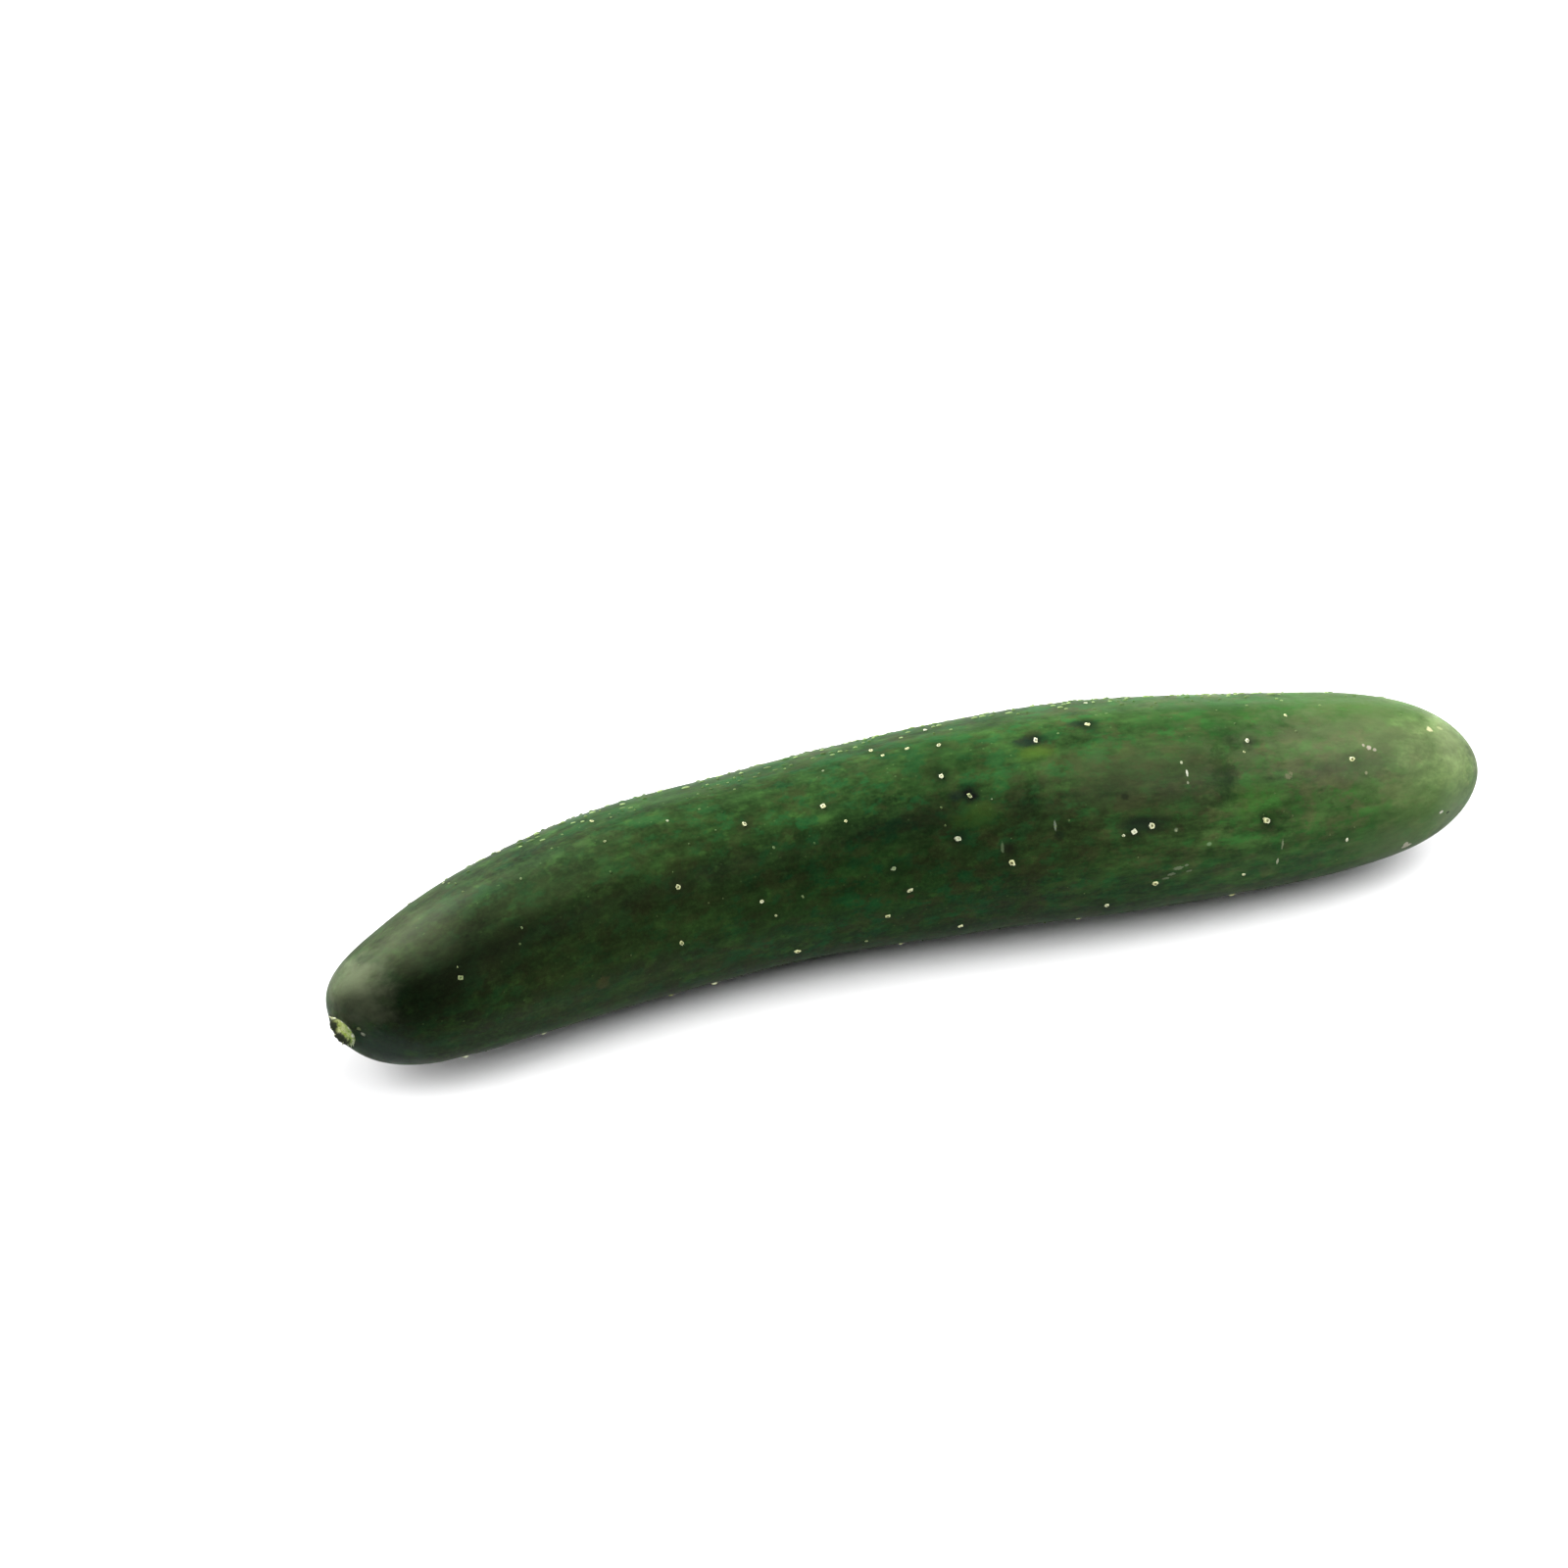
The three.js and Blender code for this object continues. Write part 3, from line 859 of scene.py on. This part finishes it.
def dishHeight(dish, share):  # at a share of its radius
    height, lipOut, lipWidth = dish["lip"]
    depth, *wall = dish["bowl"]
    fall, *edge = dish["drop"]
    lip = height * bell(share - lipOut, lipWidth)
    return lip - depth * (1 - smooth(share, *wall)) - fall * smooth(share, *edge)


def dishMesh(dish):  # a shallow round dish with a lip, a falling edge and a hidden back
    rings = dish["rings"]
    radius = dish["radius"]
    profile = [(radius * ring / rings, dishHeight(dish, ring / rings)) for ring in range(rings + 1)]
    profile += [(radius * share, height) for share, height in dish["back"]]
    return spun(profile, dish["sides"])


def noiseRound(angle, bumps, level):  # noise that closes on itself round a circle
    return noise.noise(Vector((math.cos(angle) * bumps, math.sin(angle) * bumps, level)))


def standOn(bm, place, out):  # from a flat layout round Z to its own place and direction
    up = Vector((0, 0, 1))
    matrix = Matrix((up.cross(out), up, out)).transposed().to_4x4()
    matrix.translation = place
    bmesh.ops.transform(bm, matrix=matrix, verts=bm.verts)


def seat(place, normal, along, size):  # stands a shape of unit size on the skin; size is (x, y, z)
    side = normal.cross(along).normalized()
    forward = side.cross(normal)
    matrix = Matrix((forward * size[0], side * size[1], normal * size[2])).transposed().to_4x4()
    matrix.translation = place
    return matrix


def stamp(bm, shape, matrix, grown, pale):  # adds one copy of a small shape
    copy = shape.copy()
    copy.transform(matrix)
    count = len(copy.vertices)
    copy.attributes["grown"].data.foreach_set("vector", list(grown) * count)
    copy.attributes["pale"].data.foreach_set("value", [pale] * count)
    bm.from_mesh(copy)
    bpy.data.meshes.remove(copy)


def shapeOf(bm):  # keeps a small shape as a mesh with room for its marks
    bm.verts.layers.float_vector.new("grown")
    bm.verts.layers.float.new("pale")
    mesh = bpy.data.meshes.new("shape")
    bm.to_mesh(mesh)
    return mesh


print("spine bases")
spines = {
    "seed": 17,
    "shapes": 7,  # how many differ in outline
    "radius": 0.62 * mm,
    "height": 0.50 * mm,
    "profile": [  # shares of that radius and height
        (0, 0.2), (0.2, 0.18), (0.36, 0.36), (0.62, 0.4),
        (0.86, 0.26), (1.0, 0.0), (0.95, -0.5), (0, -0.5),
    ],
    "sides": 14,
    "heart": 0.37,  # share of the radius inside which the middle is brown
    "turnApart": 2.4,  # radians between the high sides of one shape and the next
    "uneven": (0.5, 1.3),  # how uneven the outline is, and how many bumps it has
    "lopsided": (0.6, -0.5),  # how much higher the high side is, and where the low side stops
    "narrowest": 0.7,
    "lean": 0.12,
    "specks": [  # smaller ones between the warts: station in millimetres, turn, size, paleness
        (185.5, 27, 0.38, 0.8),
        (105, 33, 0.5, 1.0),
        (159.3, 65.5, 0.5, 0.9),
        (20.8, 40.6, 0.3, 0.3),
        (169.6, 66, 0.32, 0.4),
        (134, 37, 0.25, 0.3),
    ],
    "ivory": paint("f4f9d8"),
    "straw": paint("e9ecae"),
    "brown": paint("62623a"),
    "dull": paint("5f7a48"),
}


def finishSpines():
    finish = Finish("spine_base", Specular_IOR_Level=0.3)
    place = finish.add("ShaderNodeTexCoord", output=3)
    tint = finish.noise(place, (3.2, 3.2, 3.2), 1.0)
    grit = finish.noise(place, (0.22, 0.22, 0.22), 2.0)
    colour = finish.blend(finish.ramp(tint, 0.35, 0.65), spines["ivory"], spines["straw"])
    colour = finish.blend(finish.ramp(grit, 0.5, 0.85) * 0.3, colour, spines["brown"])
    brown = finish.read("heart") * finish.ramp(tint, 0.35, 0.6, 0.5, 1.0)
    colour = finish.blend(brown, colour, spines["brown"])
    colour = finish.blend(1 - finish.read("pale"), colour, spines["dull"])
    return finish.cover(colour, 0.6 + grit * 0.2, finish.bump(grit, 0.05 * mm, 0.5))


def spineShape(which):  # each of a few shapes has its own uneven edge
    small = spun(spines["profile"], spines["sides"])
    heart = small.verts.layers.float.new("heart")
    highTurn = which * spines["turnApart"]
    highSide = Vector((math.cos(highTurn), math.sin(highTurn), 0))
    unevenBy, bumps = spines["uneven"]
    higher, lowest = spines["lopsided"]
    for vert in small.verts:
        vert[heart] = 1.0 if vert.co.z > 0 and vert.co.xy.length < spines["heart"] else 0.0
        outward = vert.co.normalized() if vert.co.length > 0 else vert.co
        uneven = 1 + unevenBy * noise.noise(outward * bumps + Vector((which * 3.1, 0, 4.4)))
        vert.co.x *= uneven
        vert.co.y *= uneven
        vert.co.z *= 1 + higher * max(lowest, outward.dot(highSide))
    return shapeOf(small)


def makeSpines():
    rng = random.Random(spines["seed"])
    shapes = [spineShape(which) for which in range(spines["shapes"])]
    spots = [spot[:4] for spot in wartList]
    spots += [(station * mm, *rest) for station, *rest in spines["specks"]]
    bm = bmesh.new()
    for index, (station, turn, scale, pale) in enumerate(spots):
        place, normal = onSkin(station, turn)
        spin = rng.uniform(0, math.tau)
        along = Vector((math.cos(spin), math.sin(spin), 0.3))
        wide = spines["radius"] * scale
        size = (wide, wide * rng.uniform(spines["narrowest"], 1), spines["height"] * scale)
        aside = Vector([rng.uniform(-spines["lean"], spines["lean"]) for _ in range(3)])
        matrix = seat(place, (normal + aside).normalized(), along, size)
        stamp(bm, shapes[index % len(shapes)], matrix, grownPlace(station, turn), pale)
    return finishMesh(bm, "spine_bases", finishSpines())


spinePiece = makeSpines()
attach(spinePiece, "root")

print("pimples")
pimples = {
    "placeSeed": 29,
    "shapeSeed": 41,
    "tries": 12000,
    "apart": 1.15 * mm,
    "stations": (24 * mm, 222 * mm),
    "comeIn": (20 * mm, 60 * mm),  # the stations where they grow denser
    "goOut": (185 * mm, 225 * mm),  # and where they thin out
    "crowd": (-40, 19),  # turn of the shoulder where most of them grow, and how far it spreads
    "crowdEdge": 1.3,  # how much further out they still look as in the crowd
    "elsewhere": 0.012,  # the chance of one where there is no crowd
    "clump": (0.5, 0.9, 9 * mm),  # the chance in the crowd, how uneven it is, and over what distance
    "width": (0.20 * mm, 0.42 * mm),
    "stretch": (0.2, 1.8),  # how much longer than wide they are in the crowd
    "height": (0.14 * mm, 0.30 * mm),
    # paler in the crowd on the upper shoulder, partly painted highlight
    "paleness": (0.2, 0.35, 0.55, 0.8, 1.0),
    "profile": [(0, 1), (0.5, 0.78), (0.85, 0.3), (1.05, -0.3), (0, -0.4)],
    "sides": 7,
    "clearOfWarts": 1.4 * mm,
    "clearOfGround": 2 * mm,
}


def pimplePlaces():
    rng = random.Random(pimples["placeSeed"])
    chosen = []
    grid = {}
    centre, spread = pimples["crowd"]
    usual, unevenBy, unevenStep = pimples["clump"]
    for _ in range(pimples["tries"]):
        station = rng.uniform(*pimples["stations"])
        turn = rng.uniform(-180, 180)
        grown = grownPlace(station, turn)
        clump = usual + unevenBy * noise.noise(grown / unevenStep)
        ends = smooth(station, *pimples["comeIn"]) * (1 - smooth(station, *pimples["goOut"]))
        chance = pimples["elsewhere"] + ends * bell(turn - centre, spread) * clump
        if rng.random() > chance or wartTree.find(grown)[2] < pimples["clearOfWarts"]:
            continue
        if bodyPlace(station, turn).z < pimples["clearOfGround"]:
            continue
        cell = tuple(int(part // pimples["apart"]) for part in grown)
        near = [
            other
            for x in (-1, 0, 1)
            for y in (-1, 0, 1)
            for z in (-1, 0, 1)
            for other in grid.get((cell[0] + x, cell[1] + y, cell[2] + z), [])
        ]
        if any((other - grown).length < pimples["apart"] for other in near):
            continue
        grid.setdefault(cell, []).append(grown)
        chosen.append((station, turn, grown, bell(turn - centre, spread * pimples["crowdEdge"])))
    return chosen


def makePimples():
    rng = random.Random(pimples["shapeSeed"])
    shape = shapeOf(spun(pimples["profile"], pimples["sides"]))
    bm = bmesh.new()
    places = pimplePlaces()
    for station, turn, grown, crowded in places:
        place, normal = onSkin(station, turn)
        width = rng.uniform(*pimples["width"]) * (0.7 + 0.3 * crowded)
        height = rng.uniform(*pimples["height"]) * (0.5 + 0.5 * crowded)
        size = (width * (1 + rng.uniform(*pimples["stretch"]) * crowded), width, height)
        paleness = rng.choice(pimples["paleness"]) * (0.3 + 0.7 * crowded)
        stamp(bm, shape, seat(place, normal, blossomOut, size), grown, paleness)
    print(len(places), "pimples")
    return finishMesh(bm, "pimples", skinFinish)


pimplePiece = makePimples()
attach(pimplePiece, "root")

print("stem scar")
stemScar = {
    "seed": 5,
    "radius": 3.45 * mm,
    "rings": 26,
    "sides": 60,
    "lip": (0.42 * mm, 0.86, 0.1),  # height, and its place and width as shares of the radius
    "bowl": (0.62 * mm, 0.62, 0.88),  # depth, and the shares of the radius where its wall runs
    "drop": (0.9 * mm, 0.93, 1.0),  # how far the edge goes down, and where
    "back": [(0.8, -1.5 * mm), (0, -1.6 * mm)],  # share of the radius, and height
    "backFrom": -1.2 * mm,
    "stub": (0.55 * mm, 1.15 * mm, 0.5 * mm),  # height, width, and how far above the middle it stands
    # how far the fibres, the grit and the tears of the lip move the surface
    "torn": {"fibre": 0.2 * mm, "grit": 0.1 * mm, "lip": 0.55 * mm, "sideways": 0.25 * mm},
    "fibres": (5, 1.6 * mm),  # how many bumps round it, and how long they run
    "tears": (3.5, 9.2),  # how many bumps round it, and a seed
    "gritSize": 0.45 * mm,
    "rimWidth": 0.12,
    "rimFrom": (-0.2, 0.45),  # how torn it is where the rim is dull and where it is pale
    "paintedShadeTurn": math.radians(226),  # where the scar's lower-left edge is darkened as painted shade
    "paintedShadeFrom": (0.58, 0.74),  # shares of the radius where that starts and is full
    "paintedShadeSpread": (0.0, 0.4),  # cosines of the turn away from it, where it ends and where it is full
    "slivers": 11,
    "sliverLength": (0.35, 0.8),  # millimetres
    "longSlivers": [(138, 1.1), (-25, 1.0), (-42, 0.8)],  # degrees round, length in millimetres
    "sliver": {
        "foot": 0.26 * mm,
        "tip": 0.04 * mm,
        "sides": 6,
        "flatness": 0.45,
        "lean": (0.5, 1.35),
        "place": (0.84, 0.25 * mm),  # share of the radius, and height
        "lift": 0.35,
        "paleness": (0.2, 0.7),
    },
    "flesh": paint("a9c44c"),
    "pith": paint("ecf3ae"),
    "green": paint("6c8a4c"),
    "greenFrom": (-11.2 * mm, -14.6 * mm),  # the y where it is still flesh, and where it is green
    "bark": paint("4a4020"),
    "rim": paint("fbfbea"),
    "shade": paint("33401c"),
    # painted shade for the scar's lower-left edge
    "paintedShade": paint("10181a"),
}


def makeStemScar():
    rng = random.Random(stemScar["seed"])
    lipOut = stemScar["lip"][1]
    torn = stemScar["torn"]
    bm = dishMesh(stemScar)
    rimLayer = bm.verts.layers.float.new("rim")
    paintedShadeLayer = bm.verts.layers.float.new("paintedShade")
    height, width, above = stemScar["stub"]
    fibres, fibreLength = stemScar["fibres"]
    for vert in bm.verts:
        if vert.co.z < stemScar["backFrom"]:
            continue
        off = vert.co.xy.length
        share = off / stemScar["radius"]
        angle = math.atan2(vert.co.y, vert.co.x)
        fibre = noiseRound(angle, fibres, off / fibreLength)
        tear = noiseRound(angle, *stemScar["tears"])
        grit = noise.noise(vert.co / stemScar["gritSize"])
        stub = height * bell((vert.co.xy - Vector((0, above))).length, width)
        atRim = bell(share - lipOut, stemScar["rimWidth"])
        rough = stub + torn["fibre"] * fibre * (0.3 + share) + torn["grit"] * grit
        vert.co.z += rough + torn["lip"] * tear * atRim
        vert.co.x += torn["sideways"] * fibre * atRim * math.cos(angle)
        vert.co.y += torn["sideways"] * fibre * atRim * math.sin(angle)
        # the lower-left edge is darkened as painted shade, and the pale rim is kept off it
        atPaintedShade = smooth(math.cos(angle - stemScar["paintedShadeTurn"]), *stemScar["paintedShadeSpread"])
        paintedShade = smooth(share + 0.25 * tear, *stemScar["paintedShadeFrom"]) * atPaintedShade
        vert[rimLayer] = atRim * smooth(tear + 0.8 * grit, *stemScar["rimFrom"]) * (1 - paintedShade)
        vert[paintedShadeLayer] = paintedShade
    for _ in range(stemScar["slivers"]):
        angle = rng.uniform(0, math.tau)
        addSliver(bm, rimLayer, angle, rng.uniform(*stemScar["sliverLength"]) * mm, rng)
    for degrees, long in stemScar["longSlivers"]:
        addSliver(bm, rimLayer, math.radians(degrees), long * mm, rng)
    standOn(bm, skin["scarPlace"], scarOut)
    for vert in bm.verts:  # no torn edge stands out past the solid's box
        vert.co.x = max(vert.co.x, cadBounds[0][0])
    return finishMesh(bm, "stem_scar", finishStemScar())


def addSliver(bm, rimLayer, angle, long, rng):  # a thin torn point on the rim, leaning outwards
    sliver = stemScar["sliver"]
    made = bmesh.ops.create_cone(
        bm,
        cap_ends=True,
        segments=sliver["sides"],
        radius1=sliver["foot"],
        radius2=sliver["tip"],
        depth=long,
    )["verts"]
    share, height = sliver["place"]
    flatten = Matrix.Diagonal((1.0, sliver["flatness"], 1.0, 1.0))
    lift = Matrix.Translation((0, 0, long * sliver["lift"]))
    lean = Matrix.Rotation(rng.uniform(*sliver["lean"]), 4, "Y")
    out = Matrix.Translation((stemScar["radius"] * share, 0, height))
    turn = Matrix.Rotation(angle, 4, "Z")
    bmesh.ops.transform(bm, matrix=turn @ out @ lean @ lift @ flatten, verts=made)
    for vert in made:
        vert[rimLayer] = rng.uniform(*sliver["paleness"])


def finishStemScar():
    finish = Finish("stem_scar", Specular_IOR_Level=0.3)
    place = finish.add("ShaderNodeTexCoord", output=3)
    aside = finish.parts(place)[1]
    rim = finish.read("rim")
    flesh = finish.noise(place, (1.3, 1.3, 1.3), 3.0, 0.6)
    bark = finish.noise(place, (0.9, 0.9, 0.9), 4.0, 0.65)
    strands = finish.noise(place, (0.3, 0.3, 0.3), 3.0, 0.7)
    colour = finish.blend(finish.ramp(flesh, 0.35, 0.65), stemScar["flesh"], stemScar["pith"])
    colour = finish.blend(finish.ramp(strands, 0.48, 0.75) * 0.45, colour, stemScar["shade"])
    colour = finish.blend(finish.ramp(bark, 0.55, 0.68) * 0.85, colour, stemScar["bark"])
    green = finish.ramp(aside, *stemScar["greenFrom"])
    colour = finish.blend(green * 0.75, colour, stemScar["green"])
    colour = finish.blend(rim * 0.8, colour, stemScar["rim"])
    # painted shade on the scar's lower-left edge
    colour = finish.blend(finish.read("paintedShade") * 0.95, colour, stemScar["paintedShade"])
    return finish.cover(colour, 0.55 + strands * 0.3, finish.bump(strands, 0.15 * mm, 0.8))


scarPiece = makeStemScar()
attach(scarPiece, "root")

print("blossom scar")
blossomScar = {
    "radius": 2.5 * mm,
    "sunk": 0.62 * mm,
    "rings": 16,
    "sides": 48,
    "lip": (0.32 * mm, 0.55, 0.2),
    "bowl": (0.1 * mm, 0.1, 0.4),
    "drop": (0.6 * mm, 0.75, 1),
    "back": [(0.8, -1.0 * mm), (0, -1.1 * mm)],
    "backFrom": -0.8 * mm,
    "cracks": (0.28 * mm, 0.25),  # depth, and how wide they are
    "grit": (0.08 * mm, 0.4 * mm),  # height and width
    "cork": paint("9c8a58"),
    "pale": paint("c9bf8e"),
    "crack": paint("3d3420"),
}


def makeBlossomScar():
    bm = dishMesh(blossomScar)
    crackDepth, crackWidth = blossomScar["cracks"]
    gritHeight, gritWidth = blossomScar["grit"]
    for vert in bm.verts:
        if vert.co.z < blossomScar["backFrom"]:
            continue
        angle = math.atan2(vert.co.y, vert.co.x)
        share = vert.co.xy.length / blossomScar["radius"]
        crack = abs(noiseRound(angle, 4, 2.0))
        vert.co.z -= crackDepth * (1 - smooth(crack, 0, crackWidth)) * share
        vert.co.z += gritHeight * noise.noise(vert.co / gritWidth)
    standOn(bm, blossomPlace - blossomOut * blossomScar["sunk"], blossomOut)
    return finishMesh(bm, "blossom_scar", finishBlossomScar())


def finishBlossomScar():
    finish = Finish("blossom_scar", Specular_IOR_Level=0.2)
    place = finish.add("ShaderNodeTexCoord", output=3)
    cork = finish.noise(place, (0.9, 0.9, 0.9), 3.0, 0.6)
    grit = finish.noise(place, (0.2, 0.2, 0.2), 3.0, 0.7)
    colour = finish.blend(finish.ramp(cork, 0.35, 0.65), blossomScar["cork"], blossomScar["pale"])
    colour = finish.blend(finish.ramp(grit, 0.5, 0.75) * 0.6, colour, blossomScar["crack"])
    return finish.cover(colour, 0.75 + grit * 0.2, finish.bump(grit, 0.1 * mm, 0.7))


blossomPiece = makeBlossomScar()
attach(blossomPiece, "root")

print("floor and light")
studio = {
    "floorSize": 12.0,
    "floorDrop": 0.05 * mm,
    "floorColour": (0.85, 0.85, 0.855, 1.0),
    "ambient": 0.05,
    "roomRadius": 5.5,
    "suns": [  # name, from (x, y, z), strength, angle, what it lights
        ("key", (-0.30, 0.75, 0.60), 6.4, 20, "fruit"),
        ("left", (-0.85, -0.35, 0.40), 0.55, 60, "fruit"),
        ("low_left", (-0.80, -0.60, 0.25), 1.4, 30, "scar"),
        ("low_front", (-0.10, -0.95, 0.20), 1.5, 40, "spines"),
        ("ceiling", (0.0, 0.0, 1.0), 2.3, 90, "floor"),
        ("floor_left", (-0.8, 0.0, 0.6), 3.7, 60, "floor"),
        ("floor_right", (0.8, 0.0, 0.6), 4.8, 60, "floor"),
    ],
    "fillPlace": (0.28, -0.28, 0.34),
    "fillPower": 1.5,
    "fillSize": 0.2,
}


def makeFloor():
    finish = Finish("floor", Base_Color=studio["floorColour"], Roughness=1.0, Specular_IOR_Level=0.0)
    bm = bmesh.new()
    bmesh.ops.create_grid(bm, x_segments=1, y_segments=1, size=studio["floorSize"] / 2)
    bmesh.ops.translate(bm, vec=(0, 0, -studio["floorDrop"]), verts=bm.verts)
    piece = finishMesh(bm, "floor", finish.material, False)
    piece.visible_diffuse = False  # it throws no light back at the fruit
    return piece


def makeLamp(name, kind, strength, place, toward, lights):
    data = bpy.data.lights.new(name, kind)
    data.energy = strength
    lamp = bpy.data.objects.new(name, data)
    lamp.location = place
    lamp.rotation_euler = Vector(toward).to_track_quat("Z", "Y").to_euler()
    lamp.visible_camera = False
    lamp.light_linking.receiver_collection = lights
    bpy.context.scene.collection.objects.link(lamp)
    return data


def makeLamps(receivers):
    for name, toward, strength, angle, lights in studio["suns"]:
        sun = makeLamp(name, "SUN", strength, toward, toward, receivers[lights])
        sun.angle = math.radians(angle)
    place = Vector(studio["fillPlace"])
    fill = makeLamp("fill", "AREA", studio["fillPower"], place, place, receivers["fruit"])
    fill.size = studio["fillSize"]


def gather(name, pieces):  # what one kind of lamp lights
    group = bpy.data.collections.new(name)
    for piece in pieces:
        group.objects.link(piece)
    return group


def makeBackdrop():  # a pale room behind everything; only the camera sees it
    bm = bmesh.new()
    bmesh.ops.create_icosphere(bm, subdivisions=4, radius=studio["roomRadius"])
    bmesh.ops.reverse_faces(bm, faces=bm.faces)
    finish = Finish("room", Base_Color=(0, 0, 0, 1), Specular_IOR_Level=0.0, Emission_Strength=1.0)
    finish.shader.inputs["Emission Color"].default_value = (1, 1, 1, 1)
    piece = finishMesh(bm, "room", finish.material)
    piece.visible_diffuse = False
    piece.visible_glossy = False
    piece.visible_transmission = False
    piece.visible_shadow = False
    return piece


floorPiece = makeFloor()
makeBackdrop()
fruitPieces = [fruitPiece, spinePiece, pimplePiece, scarPiece, blossomPiece]
groups = {"fruit": fruitPieces, "scar": [scarPiece], "spines": [spinePiece], "floor": [floorPiece]}
makeLamps({name: gather("lit_" + name, pieces) for name, pieces in groups.items()})

world = bpy.data.worlds.new("room")
world.use_nodes = True
background = world.node_tree.nodes["Background"]
background.inputs["Color"].default_value = (1, 1, 1, 1)
background.inputs["Strength"].default_value = studio["ambient"]
bpy.context.scene.world = world
bpy.context.scene.view_settings.view_transform = "Standard"
